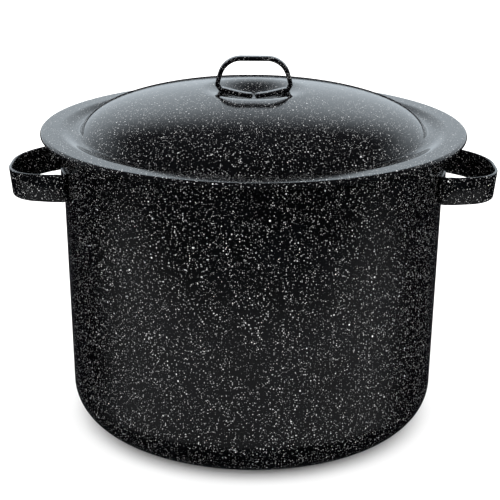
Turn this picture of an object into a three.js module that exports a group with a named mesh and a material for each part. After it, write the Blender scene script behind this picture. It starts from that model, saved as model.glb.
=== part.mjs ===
// Covered canning kettle: an enamelled steel pot with a domed lid, strap handles and a wire jar rack.
// Millimetres, +Z up. The origin is the centre of the base, on the surface that the pot stands on.
// The side handles lie along X.
import * as THREE from 'three';

// Pot
const POT_RADIUS = 165;          // outside of the wall, just under the rim
const POT_TAPER = 4;             // how much smaller the wall is at the bottom corner
const POT_HEIGHT = 259.7;        // base to the top of the rolled rim
const POT_SHEET = 1.2;
const POT_CORNER = 33;           // outside radius of the bottom corner
const RIM_ROLL = 3.2;            // outside radius of the rolled rim

// Lid
const LID_SHEET = 1;
const LID_FIT = 1.8;             // slack between the lid's step and the inside of the pot
const BRIM_OVERHANG = 18;        // brim beyond the pot's wall
const BRIM_ROLL = 2.6;           // outside radius of the rolled edge of the brim
const GUTTER_DEPTH = 2.8;        // the gutter round the dome lies this far below the brim
const GUTTER_SLOPE = 8;          // width of the slope from the brim down to the gutter
const DOME_INSET = 13.5;         // pot's outside radius less that of the crown's curve
const DOME_RISE = 34.4;          // brim to the top of the crown's curve
const DOME_SINK = 26;            // brim down to where the curve would start
const DOME_ROUNDNESS = 1.59;     // power of the radius in the curve
const DOME_SHOULDER = 3.87;      // power of the height in it: larger is squarer
const DOME_SHOULDER_SHARE = 0.72; // the crown turns down into its side at this share of the height
const DOME_FOOT_ANGLE = 62;      // degrees that the side slopes down where it meets the fillet
const DOME_FOOT_FILLET = 4;
const DISH_DEPTH = 10.2;         // the dish in the middle lies this far below the crown's curve
const DISH_MARGIN = 13.6;        // radial distance from the handle's heels to the edge of the dish

// Strap handles
// halfBase is half the span at the heels, rise the distance out to the grip's outer face, foot the
// length turned inwards at each end, lean the legs' slope in degrees. corner and heel are radii.
const LID_HANDLE = {
  halfBase: 34.4, rise: 36.3, width: 9, strap: 3.8, foot: 33.4, corner: 18.6, heel: 3.5, lean: 16,
};
const SIDE_HANDLE = {
  halfBase: 63, rise: 45.5, width: 24, strap: 2.5, foot: 26, corner: 44, heel: 2.2, lean: 25.4,
};
const SIDE_HANDLE_TOP = 27.6;    // rim down to the top edge of the strap, at the wall
const SIDE_HANDLE_DROOP = 6.3;   // degrees that the grip hangs below square
const SIDE_HANDLE_TWIST = 12;    // the strap turns from flush to drooping over this distance

// Jar rack
const JAR_DIAMETER = 92;
const JAR_EASE = 1;              // slack round the middle jar
const RACK_WIRE = 4;
const RIM_WIRE = 4.5;            // heavier wire of the ring round the top
const RACK_INSET = 18;           // pot's outside radius less the top ring's
const RACK_HEIGHT = 88;          // pot's floor to the top ring
const RACK_CORNER_EASE = 9;      // dividers turn up this much tighter than the pot's corner
const DIVIDER_COUNT = 6;
const DIVIDER_INNER_CORNER = 8;
const FOOT_RING_INSET = 8;       // from the edge of the pot's flat floor
const JAR_SUPPORT = 20;          // floor rings lie this far each side of the jar circle
const CROSS_BAR_OFFSET = 18;
const BAIL_HALF_SPAN = 45;
const BAIL_STOP = 30;            // the folded handles' grips lie this far from the middle
const BAIL_CORNER = 15;
const BAIL_EYE = 4;              // inside radius of the eye that hangs on the top ring

const GAP = 0.3;                 // between pieces that touch

// Facets
const SHELL_SIDES = 52;          // round the pot and the lid
const RING_SIDES = 40;           // round a ring of the rack
const WIRE_SIDES = 6;            // round a wire
const WIRE_TURN = 16;            // along a wire that bends through a full turn
const STRAP_TURN = 20;           // along a strap that bends through a full turn
const CORNER_STEPS = 7;          // in the pot's corner, and in its rim
const BRIM_STEPS = 6;            // in the rolled edge of the brim
const FILLET_STEPS = 3;          // at the foot of the dome
const EYE_STEPS = 9;             // in the eye of a rack handle

// Sizes that follow from the ones above
const brimTop = POT_HEIGHT + GAP + LID_SHEET;
const domeRadius = POT_RADIUS - DOME_INSET;
const dishRadius = LID_HANDLE.halfBase + DISH_MARGIN;
const dishFloor = brimTop + DOME_RISE - DISH_DEPTH;
const potFlatRadius = POT_RADIUS - POT_TAPER - POT_CORNER;
const footLevel = POT_SHEET + GAP + RACK_WIRE / 2;
const dividerLevel = footLevel + RACK_WIRE + GAP;
const floorLevel = dividerLevel + RACK_WIRE + GAP;
const rimLevel = POT_SHEET + RACK_HEIGHT;
const rimRingRadius = POT_RADIUS - RACK_INSET;
const centreRingRadius = JAR_DIAMETER / 2 + JAR_EASE + RACK_WIRE / 2;
const jarCircle = (rimRingRadius + centreRingRadius) / 2;
const eyeRadius = BAIL_EYE + RACK_WIRE / 2;
const bailLevel = rimLevel + eyeRadius;
const centreRingLevel = bailLevel - RACK_WIRE - GAP;
const bailHinge = Math.sqrt(rimRingRadius ** 2 - BAIL_HALF_SPAN ** 2);

const enamel = () => new THREE.MeshStandardMaterial({ color: 0x15171a, roughness: 0.12, metalness: 0 });
const plating = () => new THREE.MeshStandardMaterial({ color: 0xc8ccd0, roughness: 0.2, metalness: 1 });

const point = (x, y, z = 0) => new THREE.Vector3(x, y, z);

// Points on a circular arc in the XY plane. Angles are in degrees.
function arc(x, y, radius, from, to, steps) {
  return Array.from({ length: steps + 1 }, (_, i) => {
    const angle = THREE.MathUtils.degToRad(from + ((to - from) * i) / steps);
    return point(x + radius * Math.cos(angle), y + radius * Math.sin(angle));
  });
}

// A bent strip or wire: straight lines between the corners, each corner rounded to its radius.
// A corner is [point, radius], and one with radius 0 stays sharp.
function bent(corners, stepsPerTurn = WIRE_TURN) {
  const path = [];
  corners.forEach(([here, radius], i) => {
    if (!radius) {
      path.push(here);
      return;
    }
    const back = corners[i - 1][0].clone().sub(here).normalize();
    const ahead = corners[i + 1][0].clone().sub(here).normalize();
    const half = back.angleTo(ahead) / 2;
    const middle = back.clone().add(ahead).normalize();
    const centre = here.clone().addScaledVector(middle, radius / Math.sin(half));
    const start = here.clone().addScaledVector(back, radius / Math.tan(half)).sub(centre);
    const turn = Math.PI - 2 * half;
    const axis = new THREE.Vector3().crossVectors(ahead, back).normalize();
    const steps = Math.max(2, Math.ceil((turn / (2 * Math.PI)) * stepsPerTurn));
    for (let k = 0; k <= steps; k += 1) {
      path.push(start.clone().applyAxisAngle(axis, (turn * k) / steps).add(centre));
    }
  });
  return path;
}

// Both faces of a sheet that follows a middle line in the XY plane, as one closed outline.
function sheetOutline(middle, thickness) {
  const left = [];
  const right = [];
  middle.forEach((here, i) => {
    const before = middle[Math.max(i - 1, 0)];
    const after = middle[Math.min(i + 1, middle.length - 1)];
    const along = after.clone().sub(before).normalize();
    const across = point(-along.y, along.x).multiplyScalar(thickness / 2);
    left.push(new THREE.Vector2(here.x + across.x, here.y + across.y));
    right.push(new THREE.Vector2(here.x - across.x, here.y - across.y));
  });
  return [...right, ...left.reverse()];
}

// A shell spun round Z. The middle line runs outwards from the axis, with X as radius, Y as height.
function spunSheet(middle, thickness) {
  const outline = sheetOutline(middle, thickness);
  outline.at(0).x = 0;
  outline.at(-1).x = 0;
  return new THREE.LatheGeometry(outline, SHELL_SIDES).rotateX(Math.PI / 2);
}

// A flat strap bent along a middle line in the XY plane, its width along Z and centred on z = 0.
function strap(middle, { width, strap: thickness }) {
  const edge = thickness / 4;
  const outline = new THREE.Shape(sheetOutline(middle, thickness - 2 * edge));
  return new THREE.ExtrudeGeometry(outline, {
    depth: width - 2 * edge,
    bevelThickness: edge,
    bevelSize: edge,
    bevelSegments: 1,
  }).translate(0, 0, edge - width / 2);
}

// The middle line of a handle: two feet turned inwards, heels, leaning legs and two round corners.
// Both ends are alike about x = 0. The foot's points run out to the heel, which is at footY.
function handleLine({ halfBase, rise, corner, lean, heel, strap: thickness }, footPoints, footY) {
  const top = rise - thickness / 2;
  const base = halfBase - thickness / 2;
  const shoulder = base - (top - footY) * Math.tan(THREE.MathUtils.degToRad(lean));
  const half = [...footPoints, [point(base, footY), heel], [point(shoulder, top), corner]];
  const mirrored = half.map(([at, radius]) => [point(-at.x, at.y), radius]).reverse();
  return bent([...half, ...mirrored], STRAP_TURN);
}

// A wire whose stations are given: the extrusion places one section at each of them.
class WirePath extends THREE.Curve {
  constructor(stations) {
    super();
    this.stations = stations;
  }

  getPoint(t, target = new THREE.Vector3()) {
    return target.copy(this.stations[Math.round(t * (this.stations.length - 1))]);
  }

  getPointAt(u, target) {
    return this.getPoint(u, target);
  }

  getTangentAt(u, target = new THREE.Vector3()) {
    const last = this.stations.length - 1;
    const i = Math.round(u * last);
    const before = this.stations[Math.max(i - 1, 0)];
    return target.copy(this.stations[Math.min(i + 1, last)]).sub(before).normalize();
  }
}

function wire(stations, diameter = RACK_WIRE) {
  const section = new THREE.Shape();
  for (let i = 0; i < WIRE_SIDES; i += 1) {
    const angle = ((i + 0.5) * 2 * Math.PI) / WIRE_SIDES;
    const corner = [(Math.cos(angle) * diameter) / 2, (Math.sin(angle) * diameter) / 2];
    if (i) {
      section.lineTo(...corner);
    } else {
      section.moveTo(...corner);
    }
  }
  const extrudePath = new WirePath(stations);
  return new THREE.ExtrudeGeometry(section, { steps: stations.length - 1, extrudePath });
}

function ring(radius, level, diameter = RACK_WIRE) {
  return new THREE.TorusGeometry(radius, diameter / 2, WIRE_SIDES, RING_SIDES).translate(0, 0, level);
}

const group = new THREE.Group();

function add(name, geometry, material) {
  const mesh = new THREE.Mesh(geometry, material);
  mesh.name = name;
  group.add(mesh);
  return mesh;
}

// Outside radius of the pot's straight wall at a height.
function wallRadius(z) {
  const share = (z - POT_CORNER) / (POT_HEIGHT - RIM_ROLL - POT_CORNER);
  return POT_RADIUS - POT_TAPER * (1 - share);
}

// The pot: flat base, round corner, tapered wall and a rim rolled outwards.
function potShell() {
  const half = POT_SHEET / 2;
  const rimX = POT_RADIUS - POT_SHEET + RIM_ROLL;
  const middle = [
    point(0, half),
    point(potFlatRadius / 2, half),
    ...arc(potFlatRadius, POT_CORNER, POT_CORNER - half, -90, 0, CORNER_STEPS),
    ...arc(rimX, POT_HEIGHT - RIM_ROLL, RIM_ROLL - half, 180, -110, CORNER_STEPS),
  ];
  return spunSheet(middle, POT_SHEET);
}

// Height of the crown that the dome follows: one less a power of the radius, under a root.
function crownHeight(r) {
  const fall = 1 - (r / domeRadius) ** DOME_ROUNDNESS;
  return brimTop - DOME_SINK + (DOME_RISE + DOME_SINK) * fall ** (1 / DOME_SHOULDER);
}

// The same curve the other way: radius where the crown has the given share of its height.
function crownRadius(share) {
  return domeRadius * (1 - share ** DOME_SHOULDER) ** (1 / DOME_ROUNDNESS);
}

// Upper face of the dome: the crown with a round dish sunk in its middle.
function domeHeight(r) {
  return crownHeight(r) - DISH_DEPTH * (1 - THREE.MathUtils.smoothstep(r, 0, dishRadius));
}

// The lid: dome, gutter that drops inside the pot's mouth, flat brim and rolled edge.
function lidShell() {
  const half = LID_SHEET / 2;
  const gutter = brimTop - GUTTER_DEPTH;
  const stepRadius = POT_RADIUS - POT_SHEET - LID_FIT;
  const shoulder = crownRadius(DOME_SHOULDER_SHARE);
  const dish = [0.16, 0.33, 0.5, 0.67, 0.84, 1].map((share) => share * dishRadius);
  const crown = [0.34, 0.68].map((share) => THREE.MathUtils.lerp(dishRadius, shoulder, share));
  const side = [1, 0.9, 0.8, 0.7].map((share) => crownRadius(DOME_SHOULDER_SHARE * share));
  const footAngle = THREE.MathUtils.degToRad(DOME_FOOT_ANGLE);
  const footHeight = gutter + DOME_FOOT_FILLET * (1 - Math.cos(footAngle));
  const footRadius = crownRadius((footHeight - brimTop + DOME_SINK) / (DOME_RISE + DOME_SINK));
  const filletX = footRadius + DOME_FOOT_FILLET * Math.sin(footAngle);
  const fillet = [filletX, gutter + DOME_FOOT_FILLET, DOME_FOOT_FILLET];
  const roll = [POT_RADIUS + BRIM_OVERHANG - BRIM_ROLL, brimTop - BRIM_ROLL, BRIM_ROLL - half];
  const upper = [
    point(0, dishFloor),
    ...[...dish, ...crown, ...side].map((r) => point(r, domeHeight(r))),
    ...arc(...fillet, 270 - DOME_FOOT_ANGLE, 270, FILLET_STEPS),
    point(stepRadius - GUTTER_SLOPE, gutter),
    point(stepRadius, brimTop),
  ];
  const middle = [
    ...sheetOutline(upper, LID_SHEET).slice(0, upper.length).map(({ x, y }) => point(x, y)),
    ...arc(...roll, 90, -150, BRIM_STEPS),
  ];
  return spunSheet(middle, LID_SHEET);
}

// The lid's handle: its feet run inwards along the bottom of the dish and almost meet.
function lidHandle() {
  const { halfBase, foot, width, strap: thickness } = LID_HANDLE;
  const base = halfBase - thickness / 2;
  const seat = (x) => domeHeight(Math.hypot(x, width / 2)) - dishFloor + GAP + thickness / 2;
  const footPoints = [0, 0.2, 0.4, 0.6, 0.75].map((share) => {
    const x = THREE.MathUtils.lerp(halfBase - foot, base, share);
    return [point(x, seat(x)), 0];
  });
  const line = handleLine(LID_HANDLE, footPoints, seat(base));
  return strap(line, LID_HANDLE).rotateX(Math.PI / 2).translate(0, 0, dishFloor);
}

// Turns a strap that stands out from the pot's wall so that it droops: flush with the wall at its
// feet, then tilted about the wall by the full angle. Drawn with its width centred on z = 0.
function droop(geometry) {
  const position = geometry.attributes.position;
  const at = new THREE.Vector3();
  for (let i = 0; i < position.count; i += 1) {
    at.fromBufferAttribute(position, i);
    const out = Math.hypot(at.x, at.y) - POT_RADIUS;
    const angle = THREE.MathUtils.degToRad(SIDE_HANDLE_DROOP)
      * THREE.MathUtils.smoothstep(out, SIDE_HANDLE.strap, SIDE_HANDLE.strap + SIDE_HANDLE_TWIST);
    const shift = out * (Math.cos(angle) - 1) + at.z * Math.sin(angle);
    position.setXYZ(i, at.x + shift, at.y, at.z * Math.cos(angle) - out * Math.sin(angle));
  }
  return geometry;
}

// A side handle, drawn in plan with Y pointing away from the pot, its feet bent to the wall.
function sideHandle() {
  const { halfBase, foot, strap: thickness, width } = SIDE_HANDLE;
  const wall = wallRadius(POT_HEIGHT - SIDE_HANDLE_TOP) + GAP + thickness / 2;
  const onWall = (x) => Math.sqrt(wall ** 2 - x ** 2) - POT_RADIUS;
  const footPoints = [0, 0.25, 0.5].map((share) => {
    const x = halfBase - foot * (1 - share);
    return [point(x, onWall(x)), 0];
  });
  const line = handleLine(SIDE_HANDLE, footPoints, onWall(halfBase - thickness / 2));
  const plan = strap(line, SIDE_HANDLE).rotateZ(-Math.PI / 2).translate(POT_RADIUS, 0, 0);
  return droop(plan).translate(0, 0, POT_HEIGHT - SIDE_HANDLE_TOP - width / 2);
}

// A divider: down from the top ring, along the floor towards the middle, up to the centre ring.
function divider() {
  const outer = POT_CORNER - RACK_CORNER_EASE;
  const rimEnd = rimLevel - RIM_WIRE / 2 - GAP;
  const centreEnd = centreRingLevel - RACK_WIRE / 2 - GAP;
  return wire(bent([
    [point(rimRingRadius, 0, rimEnd), 0],
    [point(rimRingRadius, 0, dividerLevel), outer],
    [point(centreRingRadius, 0, dividerLevel), DIVIDER_INNER_CORNER],
    [point(centreRingRadius, 0, centreEnd), 0],
  ]));
}

// A bar across the middle, between the inside faces of the inner floor ring.
function crossBar(y) {
  const inside = (jarCircle - JAR_SUPPORT - RACK_WIRE / 2) * Math.cos(Math.PI / RING_SIDES) - GAP;
  const reach = Math.sqrt(inside ** 2 - (Math.abs(y) + RACK_WIRE / 2) ** 2);
  return wire([point(-reach, y, floorLevel), point(reach, y, floorLevel)]);
}

// A wire handle, folded inwards: an eye round the top ring at each end.
function bail() {
  const eye = (side) => arc(0, 0, eyeRadius, -150, 90, EYE_STEPS)
    .map(({ x, y }) => point(bailHinge + x, side * BAIL_HALF_SPAN, rimLevel + y));
  const grip = bent([
    [point(bailHinge, BAIL_HALF_SPAN, bailLevel), 0],
    [point(BAIL_STOP, BAIL_HALF_SPAN, bailLevel), BAIL_CORNER],
    [point(BAIL_STOP, -BAIL_HALF_SPAN, bailLevel), BAIL_CORNER],
    [point(bailHinge, -BAIL_HALF_SPAN, bailLevel), 0],
  ]);
  return wire([...eye(1), ...grip.slice(1, -1), ...eye(-1).reverse()]);
}

add('pot_shell', potShell(), enamel());
add('side_handle_right', sideHandle(), enamel());
add('side_handle_left', sideHandle(), enamel()).rotation.z = Math.PI;
add('lid_shell', lidShell(), enamel());
add('lid_handle', lidHandle(), enamel());

add('rack_rim_ring', ring(rimRingRadius, rimLevel, RIM_WIRE), plating());
add('rack_centre_ring', ring(centreRingRadius, centreRingLevel), plating());
add('rack_foot_ring', ring(potFlatRadius - FOOT_RING_INSET, footLevel), plating());
add('rack_floor_ring_inner', ring(jarCircle - JAR_SUPPORT, floorLevel), plating());
add('rack_floor_ring_outer', ring(jarCircle + JAR_SUPPORT, floorLevel), plating());
add('rack_cross_bar_front', crossBar(-CROSS_BAR_OFFSET), plating());
add('rack_cross_bar_back', crossBar(CROSS_BAR_OFFSET), plating());
for (let i = 0; i < DIVIDER_COUNT; i += 1) {
  const turn = ((i + 0.5) * 2 * Math.PI) / DIVIDER_COUNT;
  add(`rack_divider_${i + 1}`, divider(), plating()).rotation.z = turn;
}
add('rack_handle_right', bail(), plating());
add('rack_handle_left', bail(), plating()).rotation.z = Math.PI;

export default group;
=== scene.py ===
# %% [markdown]
# # An enamelled canning kettle
# A canning kettle is a deep steel pot with a lid and a wire rack that holds jars off the floor of
# the pot. The steel is thin, pressed to shape and dipped in black enamel with white flecks in it.
# The design's solids are already in place and fix every size. This script dresses them: each solid
# is stood for by a finer surface of the same size, worked out from a formula, and given a finish.

# %% Load the fixed frame
import math

import bpy
import numpy as np
from mathutils import Matrix, Vector


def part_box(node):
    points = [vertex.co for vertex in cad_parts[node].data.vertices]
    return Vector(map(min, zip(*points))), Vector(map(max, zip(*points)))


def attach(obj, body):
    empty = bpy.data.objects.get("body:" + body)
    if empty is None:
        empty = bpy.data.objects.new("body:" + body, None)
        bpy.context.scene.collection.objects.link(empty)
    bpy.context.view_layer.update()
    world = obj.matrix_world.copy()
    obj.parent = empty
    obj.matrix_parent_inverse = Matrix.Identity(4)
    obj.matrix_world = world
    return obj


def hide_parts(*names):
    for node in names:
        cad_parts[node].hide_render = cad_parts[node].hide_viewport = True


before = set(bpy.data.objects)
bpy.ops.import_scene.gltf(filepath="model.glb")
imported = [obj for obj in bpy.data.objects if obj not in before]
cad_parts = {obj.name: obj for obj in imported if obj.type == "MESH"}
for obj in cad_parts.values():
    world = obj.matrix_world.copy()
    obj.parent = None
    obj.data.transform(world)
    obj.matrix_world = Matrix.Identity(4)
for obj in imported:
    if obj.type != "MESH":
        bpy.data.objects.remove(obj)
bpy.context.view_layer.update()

MM = 0.001

# %% [markdown]
# ## The camera
# Pictures of cookware are taken with a long lens from a little above the rim, so that the lid
# shows as a flat oval and the sides of the pot stay upright. The camera looks along +Y. The very
# small roll and shift are those of a camera on a tripod that isn't quite level or centred.

# %% Camera
CAMERA_ELEVATION = math.radians(18.75)
CAMERA_DISTANCE = 1.2375
CAMERA_ROLL = math.radians(0.43)
CAMERA_TARGET = Vector((0, 0, 147.2 * MM))

camera_data = bpy.data.cameras.new("camera")
camera_data.lens = 100
camera_data.sensor_width = 36
camera_data.shift_x = -0.0054
camera = bpy.data.objects.new("camera", camera_data)
back = Vector((0, -math.cos(CAMERA_ELEVATION), math.sin(CAMERA_ELEVATION)))
tilt = Matrix.Rotation(math.pi / 2 - CAMERA_ELEVATION, 4, "X")
roll = Matrix.Rotation(CAMERA_ROLL, 4, "Z")
camera.matrix_world = Matrix.Translation(CAMERA_TARGET + back * CAMERA_DISTANCE) @ tilt @ roll
bpy.context.scene.collection.objects.link(camera)
bpy.context.scene.camera = camera
print("camera at", [round(value, 3) for value in camera.location])

# %% [markdown]
# ## Writing node graphs as sums
# A finish is a graph of nodes. Wiring each Math node by hand hides the sum that it makes, so a
# small class wraps a socket and lets Python's own operators add the nodes. Every other kind of
# node comes from one method, which takes the settings first and then the sockets.

# %% A socket that can be added and multiplied
class Value:
    """One output socket of a node graph. Arithmetic on it adds Math nodes and gives a Value."""

    def __init__(self, graph, socket):
        self.graph = graph
        self.socket = socket

    def _math(self, operation, first, second):
        node = self.graph.node("ShaderNodeMath", {"operation": operation}, {0: first, 1: second})
        return Value(self.graph, node.outputs[0])

    def __add__(self, other):
        return self._math("ADD", self, other)

    def __sub__(self, other):
        return self._math("SUBTRACT", self, other)

    def __rsub__(self, other):
        return self._math("SUBTRACT", other, self)

    def __mul__(self, other):
        return self._math("MULTIPLY", self, other)

    def __truediv__(self, other):
        return self._math("DIVIDE", self, other)

    def __rtruediv__(self, other):
        return self._math("DIVIDE", other, self)

    def __pow__(self, other):
        return self._math("POWER", self, other)

    def at_least(self, other):
        return self._math("MAXIMUM", self, other)

    def at_most(self, other):
        return self._math("MINIMUM", self, other)

    __radd__ = __add__
    __rmul__ = __mul__

    def step(self, low, high):
        """0 below low, 1 above high, and a smooth rise between them."""
        sockets = {"Value": self, "From Min": low, "From Max": high}
        node = self.graph.node("ShaderNodeMapRange", {"interpolation_type": "SMOOTHSTEP"}, sockets)
        return Value(self.graph, node.outputs[0])


class Graph:
    """A node tree that is being filled."""

    def __init__(self, tree):
        self.tree = tree
        self.tree.nodes.clear()

    def node(self, kind, settings=None, sockets=None):
        """Adds a node of this kind, sets its settings, then fills its sockets by name or number."""
        made = self.tree.nodes.new(kind)
        for name, setting in (settings or {}).items():
            setattr(made, name, setting)
        for key, given in (sockets or {}).items():
            by_identifier = {socket.identifier: socket for socket in made.inputs}
            socket = by_identifier.get(key) or made.inputs[key]
            if isinstance(given, Value):
                given = given.socket
            if isinstance(given, bpy.types.NodeSocket):
                self.tree.links.new(given, socket)
            else:
                socket.default_value = given
        return made

    def value(self, kind, output, settings=None, sockets=None):
        return Value(self, self.node(kind, settings, sockets).outputs[output])

    def parts(self, vector):
        """The three numbers of a vector."""
        node = self.node("ShaderNodeSeparateXYZ", None, {0: vector})
        return [Value(self, output) for output in node.outputs]

    def blend(self, factor, first, second):
        """Goes from the first colour to the second as the factor goes from 0 to 1."""
        sockets = {"Factor_Float": factor, "A_Color": first, "B_Color": second}
        node = self.node("ShaderNodeMix", {"data_type": "RGBA"}, sockets)
        return next(output for output in node.outputs if output.identifier == "Result_Color")


# %% A material with a Principled shader at its end
def finish(name, constants, build):
    """Makes a material. constants sets the shader's plain sockets, build gives the varying ones."""
    material = bpy.data.materials.new(name)
    material.use_nodes = True
    graph = Graph(material.node_tree)
    shader = graph.node("ShaderNodeBsdfPrincipled", None, {**constants, **build(graph)})
    graph.node("ShaderNodeOutputMaterial", None, {"Surface": shader.outputs[0]})
    print("finish", name, "has", len(material.node_tree.nodes), "nodes")
    return material


# %% [markdown]
# ## Light
# Black enamel is almost a mirror, so what it shows is the room. A studio would hang a broad pale
# sheet behind the pot, which lights the lid, and keep the side towards the camera dark. The world
# does both here: rays that bounce off a glossy face see the sheet and the dark room, and all
# other rays see an even white, which lights the white flecks and the floor softly.

# %% World
SHEET_LIGHT = (0.98, 1.09, 1.18, 1)
ROOM_LIGHT = (0.06, 0.06, 0.07, 1)
SHADE_LIGHT = (0.006, 0.006, 0.008, 1)
FLOOR_LIGHT = (0.27, 0.27, 0.28, 1)

world = bpy.data.worlds.new("studio")
world.use_nodes = True
bpy.context.scene.world = world
world.cycles.sampling_method = "NONE"
sky = Graph(world.node_tree)
direction = sky.node("ShaderNodeTexCoord").outputs["Generated"]
east, north, up = sky.parts(direction)
behind = north / ((east * east + north * north) ** 0.5).at_least(0.001)
sheet = behind.step(-0.1, 0.9) * (1 - up.step(0.36, 0.70)) * up.step(-0.01, 0.01)
edge = -0.393 + 0.07 * (1 + behind).step(0.0, 0.9)
near_floor = (1 - up.step(edge - 0.03, edge + 0.03)) * up.step(-0.56, -0.46)
below = sky.blend(near_floor * (1 - behind.step(-0.3, 0.5)), SHADE_LIGHT, FLOOR_LIGHT)
above = sky.blend(sheet, ROOM_LIGHT, SHEET_LIGHT)
seen_in_gloss = sky.blend(up.step(-0.01, 0.01), below, above)
path = sky.node("ShaderNodeLightPath")
soft = sky.blend(path.outputs["Is Glossy Ray"], (1.9, 1.9, 1.9, 1), seen_in_gloss)
colour = sky.blend(path.outputs["Is Camera Ray"], soft, (1, 1, 1, 1))
background = sky.node("ShaderNodeBackground", None, {"Color": colour, "Strength": 1.0})
sky.node("ShaderNodeOutputWorld", None, {"Surface": background.outputs[0]})
bpy.context.scene.view_settings.view_transform = "Standard"
print("world has", len(world.node_tree.nodes), "nodes")

# %% [markdown]
# ## The speckled enamel
# Enamel is glass. White grit is thrown on the wet black coat, so the flecks lie at random, most
# of them very small and a few large, and they melt flush into the glass. Three layers of Voronoi
# cells in space give the grit: each cell holds one fleck, whose size and whiteness are drawn from
# the cell's own random colour. Cutting them in space means that no seam or pole can show. The
# fired glass isn't quite flat, so a very low bump bends the reflections a little.

# %% Enamel
FLECK_LAYERS = (
    # cell size, smallest and largest radius of a fleck, all in mm
    (1.25, 0.11, 0.43),
    (2.5, 0.20, 0.58),
    (6.5, 0.40, 0.85),
)
ENAMEL_BLACK = (0.0007, 0.0007, 0.0009, 1)
ENAMEL_BLUE = (0.0012, 0.0013, 0.0018, 1)
FLECK_WHITE = (0.80, 0.80, 0.80, 1)


def flecks(graph, place, cell, smallest, largest):
    """How white a layer of grit is at a place: one inside a cell's fleck and zero outside it."""
    scale = 1 / (cell * MM)
    settings = {"voronoi_dimensions": "3D", "feature": "F1"}
    node = graph.node("ShaderNodeTexVoronoi", settings, {"Vector": place, "Scale": scale})
    size, whiteness, _ = graph.parts(node.outputs["Color"])
    distance = Value(graph, node.outputs["Distance"])
    radius = (smallest + (largest - smallest) * size ** 2.0) / cell
    inside = ((radius - distance) / (0.25 * radius)).at_least(0).at_most(1)
    return inside * (0.16 + 0.84 * whiteness ** 1.8)


def enamel_sockets(graph):
    place = graph.node("ShaderNodeTexCoord").outputs["Object"]
    white = 0
    for layer in FLECK_LAYERS:
        made = flecks(graph, place, *layer)
        white = made if white == 0 else white.at_least(made)
    cloud = graph.value("ShaderNodeTexNoise", 0, None, {"Vector": place, "Scale": 30.0, "Detail": 3.0})
    black = graph.blend(cloud.step(0.35, 0.75), ENAMEL_BLACK, ENAMEL_BLUE)
    colour = graph.blend(white, black, FLECK_WHITE)
    peel = graph.value("ShaderNodeTexNoise", 0, None, {"Vector": place, "Scale": 160.0, "Detail": 2.0})
    height = peel + 0.15 * white
    bump = graph.node("ShaderNodeBump", None, {"Strength": 0.07, "Distance": 0.0004, "Height": height})
    roughness = 0.07 + 0.05 * cloud + 0.08 * white
    return {"Base Color": colour, "Roughness": roughness, "Normal": bump.outputs[0]}


enamel = finish("speckled enamel", {"IOR": 1.5, "Metallic": 0.0}, enamel_sockets)

# %% [markdown]
# ## The plated wire
# The rack is steel wire, welded and then plated. Plating is bright but never even: it is duller in
# patches, and the drawn wire keeps fine lines and small pits under it.

# %% Plating
PLATE_BRIGHT = (0.80, 0.81, 0.83, 1)
PLATE_DULL = (0.60, 0.60, 0.60, 1)


def plating_sockets(graph):
    place = graph.node("ShaderNodeTexCoord").outputs["Object"]
    patch = graph.value("ShaderNodeTexNoise", 0, None, {"Vector": place, "Scale": 70.0, "Detail": 4.0})
    pits = graph.value("ShaderNodeTexNoise", 0, None, {"Vector": place, "Scale": 1400.0, "Detail": 2.0})
    dull = patch.step(0.45, 0.72)
    colour = graph.blend(dull, PLATE_BRIGHT, PLATE_DULL)
    sockets = {"Strength": 0.25, "Distance": 0.0001, "Height": pits}
    bump = graph.node("ShaderNodeBump", None, sockets)
    roughness = 0.16 + 0.18 * dull + 0.08 * pits
    return {"Base Color": colour, "Roughness": roughness, "Normal": bump.outputs[0]}


plating = finish("plated wire", {"Metallic": 1.0}, plating_sockets)

# %% [markdown]
# ## From arrays to meshes
# Every piece below is a grid of points: rows by columns. The grid may close on itself either way,
# and an open end is closed by a fan of triangles round one more point. The enclosed volume tells
# whether the faces point outwards: it is positive when they do.

# %% Grids of points
def grid_faces(rows, columns, close_rows, close_columns):
    """Four corners of each cell of a grid whose point (i, j) has number i * columns + j."""
    i, j = np.meshgrid(
        np.arange(rows if close_rows else rows - 1),
        np.arange(columns if close_columns else columns - 1),
        indexing="ij",
    )
    below, beside = (i + 1) % rows, (j + 1) % columns
    corners = (i * columns + j, below * columns + j, below * columns + beside, i * columns + beside)
    return np.stack(corners, -1).reshape(-1, 4)


def fan(first, count, centre, forwards):
    """Triangles from a centre point to a row of count points that closes on itself."""
    here = first + np.arange(count)
    there = first + (np.arange(count) + 1) % count
    pair = (here, there) if forwards else (there, here)
    return np.stack([np.full(count, centre), *pair], -1)


def enclosed_volume(points, triangles):
    """A sixth of the sum of the triple products of every triangle's corners."""
    a, b, c = (points[triangles[:, k]] for k in range(3))
    return float(np.einsum("ij,ij->", a, np.cross(b, c)) / 6)


def make_piece(name, points, quads, triangles, material, body, nodes):
    """Puts the arrays in a mesh and places the piece on a body of the frame."""
    halves = [quads[:, [0, 1, 2]], quads[:, [0, 2, 3]], triangles]
    volume = enclosed_volume(points, np.concatenate(halves))
    if volume < 0:
        quads, triangles = quads[:, ::-1], triangles[:, ::-1]
    mesh = bpy.data.meshes.new(name)
    mesh.from_pydata(points.tolist(), [], quads.tolist() + triangles.tolist())
    mesh.polygons.foreach_set("use_smooth", np.ones(len(mesh.polygons), bool))
    mesh.materials.append(material)
    mesh.update()
    piece = bpy.data.objects.new(name, mesh)
    bpy.context.scene.collection.objects.link(piece)
    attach(piece, body)
    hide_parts(*nodes)
    count = 2 * len(quads) + len(triangles)
    print(f"{name}: {count} triangles, {abs(volume) * 1e6:.1f} cm3")


NO_TRIANGLES = np.zeros((0, 3), int)


# %% [markdown]
# ## Outlines of pressed sheet
# The pot and the lid are spun: their shape is one outline turned about the upright axis. The
# outline starts as the middle line of the sheet, as straight runs and arcs, and half the sheet's
# thickness is then laid off on each side of it.

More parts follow.
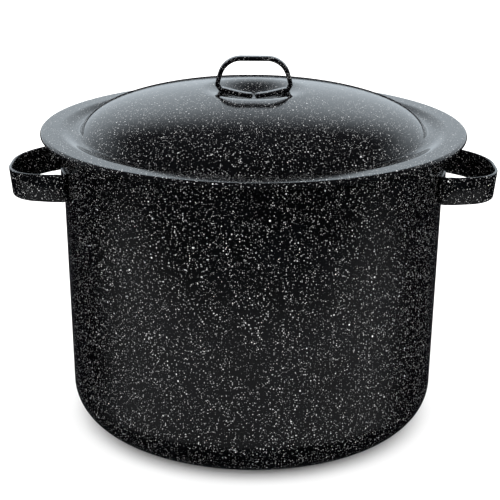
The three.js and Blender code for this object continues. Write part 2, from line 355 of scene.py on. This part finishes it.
# %% Lines, arcs and spun sheet
def arc(x, y, radius, start, stop, steps):
    """Points at radius from (x, y), from one angle to the other, in degrees."""
    angle = np.radians(np.linspace(start, stop, steps + 1))
    return np.stack([x + radius * np.cos(angle), y + radius * np.sin(angle)], -1)


def run(start, stop, steps):
    """Evenly spaced points on a straight line, without the last one."""
    share = np.linspace(0, 1, steps, endpoint=False)[:, None]
    return np.array(start) * (1 - share) + np.array(stop) * share


def both_faces(middle, thickness):
    """The middle line moved half a thickness to its right, then back along its left."""
    along = np.gradient(middle, axis=0)
    along /= np.linalg.norm(along, axis=1, keepdims=True)
    across = np.stack([-along[:, 1], along[:, 0]], -1) * thickness / 2
    right, left = middle - across, middle + across
    right[0, 0] = left[0, 0] = 0
    return np.concatenate([right, left[::-1]])


def spun(name, outline, sides, material, body, nodes):
    """Turns an outline of (radius, height) about Z: x = r cos a, y = r sin a, z = h."""
    ring = outline[1:-1]
    angle = np.linspace(0, 2 * math.pi, sides, endpoint=False)[None, :]
    radius, height = ring[:, 0:1], ring[:, 1:2]
    x, y = radius * np.cos(angle), radius * np.sin(angle)
    points = np.stack([x, y, np.broadcast_to(height, x.shape)], -1).reshape(-1, 3)
    poles = [[0, 0, outline[0, 1]], [0, 0, outline[-1, 1]]]
    points = np.concatenate([points, poles]) * MM
    rows = len(ring)
    quads = grid_faces(rows, sides, False, True)
    last = rows * sides
    ends = [fan(0, sides, last, True), fan(last - sides, sides, last + 1, False)]
    make_piece(name, points, quads, np.concatenate(ends), material, body, nodes)


# %% [markdown]
# ## The pot
# One deep drawn shell: a flat base, a round corner, a wall that widens a little towards the top,
# and a rim rolled outwards over a hidden edge. The height comes from the frame.

# %% Pot
SIDES = 256
GAP = 0.3  # between pieces that touch
_, pot_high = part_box("pot_shell")
POT_HEIGHT = pot_high.z / MM
POT_RADIUS = 165
POT_TAPER = 4
POT_SHEET = 1.2
POT_CORNER = 33
RIM_ROLL = 3.2

flat = POT_RADIUS - POT_TAPER - POT_CORNER
half_sheet = POT_SHEET / 2
rim_centre = (POT_RADIUS - POT_SHEET + RIM_ROLL, POT_HEIGHT - RIM_ROLL)
corner = arc(flat, POT_CORNER, POT_CORNER - half_sheet, -90, 0, 28)
rim = arc(*rim_centre, RIM_ROLL - half_sheet, 180, -110, 28)
pot_middle = np.concatenate([run((0, half_sheet), corner[0], 24), corner[:-1],
                             run(corner[-1], rim[0], 40), rim])
spun("kettle_body", both_faces(pot_middle, POT_SHEET), SIDES, enamel,
     "pot", ["pot_shell"])

# %% [markdown]
# ## The lid
# Pressed from one disc. From the middle outwards: a round dish that the handle stands in, a
# crown that falls slowly and then turns down quickly, a small fillet into a gutter, and a broad
# brim whose edge is rolled under. The crown is a squashed oval: its height is one less a power of
# the radius, all under a root.

# %% Lid
LID_SHEET = 1.0
GUTTER_DEPTH = 2.8
GUTTER_SLOPE = 12.5
BRIM_ROLL = 2.6
DOME_INSET = 13.5
DOME_RISE = 34.4
DOME_SINK = 26
DOME_ROUNDNESS = 1.59
DOME_SHOULDER = 3.87
DOME_FOOT_ANGLE = 62
DOME_FOOT_FILLET = 4
DISH_DEPTH = 10.2
DISH_RADIUS = 48

_, lid_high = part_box("lid_shell")
BRIM_TOP = POT_HEIGHT + GAP + LID_SHEET
BRIM_RADIUS = lid_high.x / MM
DOME_RADIUS = POT_RADIUS - DOME_INSET
DISH_FLOOR = BRIM_TOP + DOME_RISE - DISH_DEPTH


def smooth(value, low, high):
    """3 s^2 - 2 s^3, where s is how far the value is from low to high, kept within 0 and 1."""
    share = np.clip((value - low) / (high - low), 0, 1)
    return share * share * (3 - 2 * share)


def dome_height(radius):
    """The crown, (1 - r^roundness)^(1/shoulder), with a dish that eases out to its edge."""
    fall = 1 - (radius / DOME_RADIUS) ** DOME_ROUNDNESS
    crown = BRIM_TOP - DOME_SINK + (DOME_RISE + DOME_SINK) * fall ** (1 / DOME_SHOULDER)
    return crown - DISH_DEPTH * (1 - smooth(radius, 0, DISH_RADIUS))


def dome_radius(share):
    """The crown turned round: the radius where it has a share of its height."""
    return DOME_RADIUS * (1 - share ** DOME_SHOULDER) ** (1 / DOME_ROUNDNESS)


gutter = BRIM_TOP - GUTTER_DEPTH
crest_radius = POT_RADIUS - POT_SHEET + RIM_ROLL
foot_angle = math.radians(DOME_FOOT_ANGLE)
foot_top = gutter + DOME_FOOT_FILLET * (1 - math.cos(foot_angle))
foot_share = (foot_top - BRIM_TOP + DOME_SINK) / (DOME_RISE + DOME_SINK)
fillet_x = dome_radius(foot_share) + DOME_FOOT_FILLET * math.sin(foot_angle)
SHOULDER_SHARE = 0.8
inner = np.linspace(0, dome_radius(SHOULDER_SHARE), 84, endpoint=False)
stations = np.concatenate([inner, dome_radius(np.linspace(SHOULDER_SHARE, foot_share, 34))])
dome = np.stack([stations, dome_height(stations)], -1)
fillet = arc(fillet_x, gutter + DOME_FOOT_FILLET, DOME_FOOT_FILLET, 270 - DOME_FOOT_ANGLE, 270, 8)
slope_share = np.linspace(0, 1, 16)
slope = np.stack([crest_radius - GUTTER_SLOPE * (1 - slope_share),
                  gutter + GUTTER_DEPTH * smooth(slope_share, 0, 1)], -1)
upper = np.concatenate([dome, fillet[1:], run(fillet[-1], slope[0], 6)[1:], slope])
lid_middle = both_faces(upper, LID_SHEET)[:len(upper)]
roll_middle = arc(BRIM_RADIUS - BRIM_ROLL, BRIM_TOP - BRIM_ROLL, BRIM_ROLL - LID_SHEET / 2,
                  90, -150, 20)
flat_brim = run(lid_middle[-1], roll_middle[0], 10)[1:]
lid_middle = np.concatenate([lid_middle, flat_brim, roll_middle])
spun("kettle_lid", both_faces(lid_middle, LID_SHEET), SIDES, enamel,
     "lid", ["lid_shell"])

# %% [markdown]
# ## Strap handles
# All three handles are flat steel bar with rounded edges, bent to shape: two feet turned inwards
# and welded on, then legs that lean towards each other and one long round grip. A strap is an oblong
# section with round edges, carried along the bent line. Near each end the section draws in, which
# rounds the end off.

# %% Bent lines and swept sections
def bent(corners, steps_per_turn):
    """Straight lines between the corners, each corner rounded to its radius. Corners are
    (point, radius), and a corner with radius 0 stays a point."""
    path = []
    for k, (here, radius) in enumerate(corners):
        here = np.array(here, float)
        if radius == 0:
            path.append(here[None, :])
            continue
        back_way = np.array(corners[k - 1][0], float) - here
        onward = np.array(corners[k + 1][0], float) - here
        back_way /= np.linalg.norm(back_way)
        onward /= np.linalg.norm(onward)
        half = math.acos(float(back_way @ onward)) / 2
        middle = (back_way + onward) / np.linalg.norm(back_way + onward)
        centre = here + middle * radius / math.sin(half)
        start = (here + back_way * radius / math.tan(half) - centre) / radius
        turn = math.pi - 2 * half
        count = max(4, math.ceil(turn / (2 * math.pi) * steps_per_turn))
        angle = np.linspace(0, turn, count + 1)[:, None]
        path.append(centre + radius * (start * np.cos(angle) + back_way * -np.sin(angle)))
    return np.concatenate(path)


END_TURN = 0.48 * math.pi  # just short of a quarter turn, so that no end shrinks to a point


def swept(path, up, half_width, half_depth, edge, around):
    """Carries a section with round edges along a path. up is each station's width direction.
    A point is station + across * (hw - e + e cos a) + up * (hd - e + e sin a), four ways."""
    along = np.gradient(path, axis=0)
    along /= np.linalg.norm(along, axis=1, keepdims=True)
    up = np.broadcast_to(np.array(up, float), path.shape)
    up = up - along * np.sum(up * along, axis=1, keepdims=True)
    up /= np.linalg.norm(up, axis=1, keepdims=True)
    across = np.cross(along, up)
    bow = np.linspace(0, END_TURN, 6)[1:]
    out, left = edge * np.sin(bow), edge * np.cos(bow)
    first = path[0] - along[0] * out[::-1, None] + along[0] * edge
    last = path[-1] + along[-1] * out[:, None] - along[-1] * edge
    edge_now = np.concatenate([left[::-1], np.full(len(path), edge), left])
    path = np.concatenate([first, path[:1] + along[0] * edge, path[1:-1],
                           path[-1:] - along[-1] * edge, last])
    repeat = [len(bow) + 1] + [1] * (len(along) - 2) + [len(bow) + 1]
    up, across = np.repeat(up, repeat, axis=0), np.repeat(across, repeat, axis=0)
    angle = (np.arange(around) + 0.5) * 2 * math.pi / around
    cos, sin = np.cos(angle)[None, :], np.sin(angle)[None, :]
    wide = np.sign(sin) * (half_width - edge) + edge_now[:, None] * sin
    deep = np.sign(cos) * (half_depth - edge) + edge_now[:, None] * cos
    points = path[:, None, :] + up[:, None, :] * wide[..., None] + across[:, None, :] * deep[..., None]
    return points


def swept_piece(name, grid, material, body, nodes):
    """A swept grid in mm with a fan of triangles over each end."""
    rows, columns, _ = grid.shape
    ends = grid[[0, -1]].mean(axis=1)
    points = np.concatenate([grid.reshape(-1, 3), ends]) * MM
    last = rows * columns
    triangles = np.concatenate([fan(0, columns, last, True),
                                fan(last - columns, columns, last + 1, False)])
    quads = grid_faces(rows, columns, False, True)
    make_piece(name, points, quads, triangles, material, body, nodes)


def even(path, spacing):
    """The same line with its straight runs cut into steps of about the spacing."""
    length = np.linalg.norm(np.diff(path, axis=0), axis=1)
    travelled = np.concatenate([[0], np.cumsum(length)])
    extra = np.arange(0, travelled[-1], spacing)
    places = np.unique(np.round(np.concatenate([travelled, extra]), 3))
    keep = np.concatenate([[True], np.diff(places) > 0.2 * spacing])
    places = np.concatenate([places[keep][:-1], travelled[-1:]])
    return np.stack([np.interp(places, travelled, path[:, k]) for k in range(3)], -1)


# %% The middle line of a handle
def handle_line(half_base, top, lean, corner_radius, heel, feet, foot_height):
    """Feet, heels and two leaning legs under a round grip, alike about x = 0, in the XY plane."""
    shoulder = half_base - (top - foot_height) * math.tan(math.radians(lean))
    half = [*feet, ((half_base, foot_height, 0), heel), ((shoulder, top, 0), corner_radius)]
    mirrored = [((-at[0], at[1], 0), radius) for at, radius in reversed(half)]
    return bent(half + mirrored, 120)


# %% [markdown]
# ## The lid's handle
# A narrow, thick bar bent to a loop. It stands in the dish, and its feet run inwards along the
# bottom of it until they almost meet, so that the weld has the whole length to hold on to.

# %% Lid handle
LID_STRAP = 3.8
LID_STRAP_WIDTH = 9
LID_HALF_BASE = 34.4
LID_FOOT = 33.4
LID_LEAN = 16
LID_CORNER = 18.6
LID_HEEL = 3.5
HEEL_CLEAR = 7  # the feet stop this far short of the heel
_, grip_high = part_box("lid_handle")
lid_top = grip_high.z / MM - DISH_FLOOR - LID_STRAP / 2
lid_half_base = LID_HALF_BASE - LID_STRAP / 2


def lid_seat(x):
    """Height of the foot's middle line over the dish's floor, at x along the handle."""
    return dome_height(np.hypot(x, LID_STRAP_WIDTH / 2)) - DISH_FLOOR + GAP + LID_STRAP / 2


foot_x = np.linspace(LID_HALF_BASE - LID_FOOT, lid_half_base - HEEL_CLEAR, 20)
lid_feet = [((x, lid_seat(x), 0), 0) for x in foot_x]
line = handle_line(lid_half_base, lid_top, LID_LEAN, LID_CORNER, LID_HEEL, lid_feet,
                   lid_seat(lid_half_base))
line = even(line, 1.5)
strap = swept(line, (0, 0, 1), LID_STRAP_WIDTH / 2, LID_STRAP / 2, 0.38 * LID_STRAP, 32)
strap = np.stack([strap[..., 0], -strap[..., 2], strap[..., 1] + DISH_FLOOR], -1)
swept_piece("lid_handle_strap", strap, enamel, "lid", ["lid_handle"])

# %% [markdown]
# ## The side handles
# Wider strap, with feet bent to the curve of the pot. The grip hangs a little below square, which
# is how such handles settle when they are bent by hand: flush at the feet, then tilted. Lifting
# hands go under the strap, so it is the lower edge that is pulled.

# %% Side handles
SIDE_STRAP = 2.5
SIDE_STRAP_WIDTH = 24
SIDE_HALF_BASE = 63
SIDE_FOOT = 26
SIDE_RISE = 45.5
SIDE_LEAN = 25.4
SIDE_CORNER = 44
SIDE_HEEL = 2.2
DROOP = math.radians(6.3)
TWIST = 12
SIDE_HANDLE_TOP = 27.6
handle_level = POT_HEIGHT - SIDE_HANDLE_TOP - SIDE_STRAP_WIDTH / 2
wall_share = (POT_HEIGHT - SIDE_HANDLE_TOP - POT_CORNER) / (POT_HEIGHT - RIM_ROLL - POT_CORNER)
wall = POT_RADIUS - POT_TAPER * (1 - wall_share) + GAP + SIDE_STRAP / 2


def on_wall(x):
    """Distance of the wall outside the widest circle, at x along the handle."""
    return math.sqrt(wall ** 2 - x ** 2) - POT_RADIUS


def droop(grid):
    """Tilts what stands out from the wall: (out, z) turns by an angle that grows with out."""
    out = np.hypot(grid[..., 0], grid[..., 1]) - POT_RADIUS
    angle = DROOP * smooth(out, SIDE_STRAP, SIDE_STRAP + TWIST)
    x = grid[..., 0] + out * (np.cos(angle) - 1) + grid[..., 2] * np.sin(angle)
    z = grid[..., 2] * np.cos(angle) - out * np.sin(angle)
    return np.stack([x, grid[..., 1], z], -1)


foot_x = [SIDE_HALF_BASE - SIDE_FOOT * (1 - share) for share in np.linspace(0, 0.6, 9)]
side_feet = [((x, on_wall(x), 0), 0) for x in foot_x]
side_half_base = SIDE_HALF_BASE - SIDE_STRAP / 2
line = handle_line(side_half_base, SIDE_RISE - SIDE_STRAP / 2, SIDE_LEAN, SIDE_CORNER, SIDE_HEEL,
                   side_feet, on_wall(side_half_base))
strap = swept(even(line, 2.0), (0, 0, 1), SIDE_STRAP_WIDTH / 2, SIDE_STRAP / 2,
              0.45 * SIDE_STRAP, 32)
outwards = np.stack([strap[..., 1] + POT_RADIUS, -strap[..., 0], strap[..., 2]], -1)
for side, name in ((1, "right"), (-1, "left")):
    turned = droop(outwards) * (side, side, 1) + (0, 0, handle_level)
    swept_piece(f"side_strap_{name}", turned, enamel, "pot", [f"side_handle_{name}"])

# %% [markdown]
# ## The jar rack
# Round wire throughout. Rings are tori, and the other wires are the same round section carried
# along a bent line. Ring sizes and levels come from the frame.

# %% Rings
WIRE = 4.0
RIM_WIRE = 4.5


def ring(name, node, diameter):
    """A torus: x = (R + r cos b) cos a, y = (R + r cos b) sin a, z = level + r sin b."""
    low, high = (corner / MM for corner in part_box(node))
    a = np.linspace(0, 2 * math.pi, 192, endpoint=False)[:, None]
    b = np.linspace(0, 2 * math.pi, 20, endpoint=False)[None, :]
    radius = high.x - diameter / 2
    level = (low.z + high.z) / 2
    out = radius + diameter / 2 * np.cos(b)
    grid = [out * np.cos(a), out * np.sin(a), level + diameter / 2 * np.sin(b) + 0 * a]
    points = np.stack(grid, -1).reshape(-1, 3) * MM
    quads = grid_faces(192, 20, True, True)
    make_piece(name, points, quads, NO_TRIANGLES, plating, "rack", [node])
    return radius, level


rim_radius, rim_level = ring("rack_top_ring", "rack_rim_ring", RIM_WIRE)
centre_radius, centre_level = ring("rack_middle_ring", "rack_centre_ring", WIRE)
_, foot_level = ring("rack_ground_ring", "rack_foot_ring", WIRE)
_, floor_level = ring("rack_shelf_ring_inner", "rack_floor_ring_inner", WIRE)
ring("rack_shelf_ring_outer", "rack_floor_ring_outer", WIRE)


# %% Round wire along a bent line
def wire(name, path, up, body, nodes):
    """A round section carried along the path, as one plated piece."""
    grid = swept(path, up, WIRE / 2, WIRE / 2, 0.999 * WIRE / 2, 20)
    swept_piece(name, grid, plating, body, nodes)


# %% Dividers
DIVIDER_COUNT = 6
DIVIDER_CORNER = 24
DIVIDER_INNER_CORNER = 8
divider_level = foot_level + WIRE + GAP
rib = bent([((rim_radius, 0, rim_level - RIM_WIRE / 2 - GAP), 0),
            ((rim_radius, 0, divider_level), DIVIDER_CORNER),
            ((centre_radius, 0, divider_level), DIVIDER_INNER_CORNER),
            ((centre_radius, 0, centre_level - WIRE / 2 - GAP), 0)], 90)
for k in range(DIVIDER_COUNT):
    turn = (k + 0.5) * 2 * math.pi / DIVIDER_COUNT
    cos, sin = math.cos(turn), math.sin(turn)
    spoke = np.array([[cos, sin, 0], [-sin, cos, 0], [0, 0, 1]])
    wire(f"rack_rib_{k + 1}", rib @ spoke, spoke[1], "rack", [f"rack_divider_{k + 1}"])

# %% Bars across the middle
for name in ("front", "back"):
    low, high = (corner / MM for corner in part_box(f"rack_cross_bar_{name}"))
    y = (low.y + high.y) / 2
    wire(f"rack_bar_{name}", run((low.x, y, floor_level), (high.x, y, floor_level), 3),
         (0, 0, 1), "rack", [f"rack_cross_bar_{name}"])

# %% Bail handles
BAIL_HALF_SPAN = 45
BAIL_STOP = 30
BAIL_CORNER = 15
EYE_RADIUS = 6
bail_level = rim_level + EYE_RADIUS
hinge = math.sqrt(rim_radius ** 2 - BAIL_HALF_SPAN ** 2)
loop = arc(hinge, rim_level, EYE_RADIUS, -150, 90, 40)
eye = np.stack([loop[:, 0], np.full(len(loop), BAIL_HALF_SPAN), loop[:, 1]], -1)
grip = bent([((hinge, BAIL_HALF_SPAN, bail_level), 0),
             ((BAIL_STOP, BAIL_HALF_SPAN, bail_level), BAIL_CORNER),
             ((BAIL_STOP, -BAIL_HALF_SPAN, bail_level), BAIL_CORNER),
             ((hinge, -BAIL_HALF_SPAN, bail_level), 0)], 90)
arm = run((hinge, BAIL_HALF_SPAN, bail_level), grip[1], 20)[1:]
half_bail = np.concatenate([eye, arm])
flip = np.array([1, -1, 1])
bail = np.concatenate([half_bail, grip[1:-1], (half_bail * flip)[::-1]])
twist = np.concatenate([np.zeros(len(eye)), np.linspace(0, 1, len(arm))])
twist = np.concatenate([twist, np.ones(len(grip) - 2), twist[::-1]])[:, None]
side_way = np.sign(bail[:, 1:2]) * (1 - twist)
width_way = np.concatenate([0 * twist, side_way, twist], -1)
for side, name in ((1, "right"), (-1, "left")):
    turned = (side, side, 1)
    node = f"rack_handle_{name}"
    wire(f"rack_bail_{name}", bail * turned, width_way * turned, node, [node])

# %% [markdown]
# ## The floor
# A plain pale floor catches a soft shadow. It is left out of mirror images, because the light
# already says what the glossy wall sees below the horizon.

# %% Floor
def floor_sockets(graph):
    place = graph.node("ShaderNodeTexCoord").outputs["Object"]
    grain = graph.value("ShaderNodeTexNoise", 0, None, {"Vector": place, "Scale": 4.0, "Detail": 2.0})
    colour = graph.blend(grain.step(0.3, 0.7), (0.93, 0.93, 0.93, 1), (0.96, 0.96, 0.96, 1))
    return {"Base Color": colour}


pale = finish("pale floor", {"Roughness": 1.0, "Specular IOR Level": 0.0}, floor_sockets)
FLOOR_HALF = 20
floor_mesh = bpy.data.meshes.new("floor")
floor_points = [(-FLOOR_HALF, -FLOOR_HALF, 0), (FLOOR_HALF, -FLOOR_HALF, 0),
                (FLOOR_HALF, FLOOR_HALF, 0), (-FLOOR_HALF, FLOOR_HALF, 0)]
floor_mesh.from_pydata(floor_points, [], [(0, 1, 2, 3)])
floor_mesh.materials.append(pale)
floor = bpy.data.objects.new("floor", floor_mesh)
bpy.context.scene.collection.objects.link(floor)
floor.visible_glossy = False
